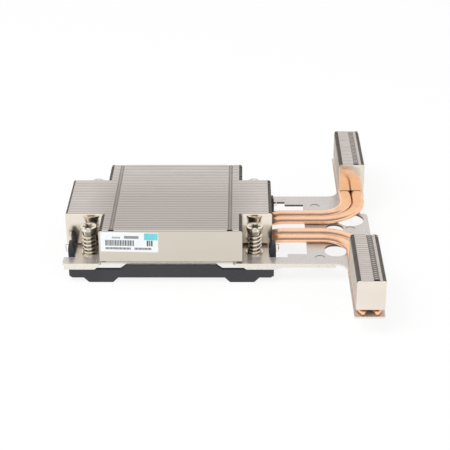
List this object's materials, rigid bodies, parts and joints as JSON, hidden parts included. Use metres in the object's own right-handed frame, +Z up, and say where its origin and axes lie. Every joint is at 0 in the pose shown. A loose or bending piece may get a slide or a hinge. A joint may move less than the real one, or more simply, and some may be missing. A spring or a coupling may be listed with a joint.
{
  "type": "passive server cpu heatsink",
  "caption": "Low passive heatsink: a wide fin stack on a copper base, with heat pipes out to two side fin stacks and captive spring screws.",
  "frame": {"origin": "centre of the copper face that touches the processor, midway between the four captive screws", "axes": "+X from the main fin stack towards the two outlying stacks, +Y to the rear across the air flow, +Z up away from the processor"},
  "size_m": [0.1763, 0.1934, 0.0329],
  "materials": {
    "plate_steel": "nickel plated, satin",
    "fin_metal": "nickel plated, bright",
    "copper": "bare copper, satin",
    "frame_plastic": "moulded, dark grey",
    "screw_steel": "nickel plated, bright",
    "spring_steel": "bright wire",
    "label_film": "white sticker"
  },
  "bodies": {
    "carrier": {"carrier_plate": "plate_steel", "copper_base": "copper", "main_fins_front": "fin_metal", "main_fins_middle": "fin_metal", "main_fins_rear": "fin_metal", "main_front_fin": "fin_metal", "main_rear_fin": "fin_metal", "carrier_frame": "frame_plastic", "hook_loops": "spring_steel", "spring_seats": "screw_steel", "label": "label_film", "heat_pipe_front_long": "copper", "heat_pipe_front_short": "copper", "heat_pipe_rear_long": "copper", "heat_pipe_rear_short": "copper", "remote_fins_front": "fin_metal", "remote_fins_rear": "fin_metal", "remote_end_fins_front": "fin_metal", "remote_end_fins_rear": "fin_metal", "spring_front_left": "spring_steel", "spring_front_right": "spring_steel", "spring_rear_left": "spring_steel", "spring_rear_right": "spring_steel"},
    "ring_front_left": {"ring_front_left": "spring_steel"},
    "screw_front_left": {"screw_front_left": "screw_steel"},
    "ring_front_right": {"ring_front_right": "spring_steel"},
    "screw_front_right": {"screw_front_right": "screw_steel"},
    "ring_rear_left": {"ring_rear_left": "spring_steel"},
    "screw_rear_left": {"screw_rear_left": "screw_steel"},
    "ring_rear_right": {"ring_rear_right": "spring_steel"},
    "screw_rear_right": {"screw_rear_right": "screw_steel"}
  },
  "joints": [
    {"name": "screw_front_left_press", "type": "slide", "parent": "carrier", "child": "ring_front_left", "axis": [0, 0, 1], "range_m": [-0.004, 0], "stiffness_N_per_m": 1500, "deforming": ["spring_front_left"]},
    {"name": "screw_front_left_turn", "type": "hinge", "parent": "ring_front_left", "child": "screw_front_left", "pos_m": [-0.047, -0.028, 0], "axis": [0, 0, 1], "continuous": true},
    {"name": "screw_front_right_press", "type": "slide", "parent": "carrier", "child": "ring_front_right", "axis": [0, 0, 1], "range_m": [-0.004, 0], "stiffness_N_per_m": 1500, "deforming": ["spring_front_right"]},
    {"name": "screw_front_right_turn", "type": "hinge", "parent": "ring_front_right", "child": "screw_front_right", "pos_m": [0.047, -0.028, 0], "axis": [0, 0, 1], "continuous": true},
    {"name": "screw_rear_left_press", "type": "slide", "parent": "carrier", "child": "ring_rear_left", "axis": [0, 0, 1], "range_m": [-0.004, 0], "stiffness_N_per_m": 1500, "deforming": ["spring_rear_left"]},
    {"name": "screw_rear_left_turn", "type": "hinge", "parent": "ring_rear_left", "child": "screw_rear_left", "pos_m": [-0.047, 0.028, 0], "axis": [0, 0, 1], "continuous": true},
    {"name": "screw_rear_right_press", "type": "slide", "parent": "carrier", "child": "ring_rear_right", "axis": [0, 0, 1], "range_m": [-0.004, 0], "stiffness_N_per_m": 1500, "deforming": ["spring_rear_right"]},
    {"name": "screw_rear_right_turn", "type": "hinge", "parent": "ring_rear_right", "child": "screw_rear_right", "pos_m": [0.047, 0.028, 0], "axis": [0, 0, 1], "continuous": true}
  ]
}
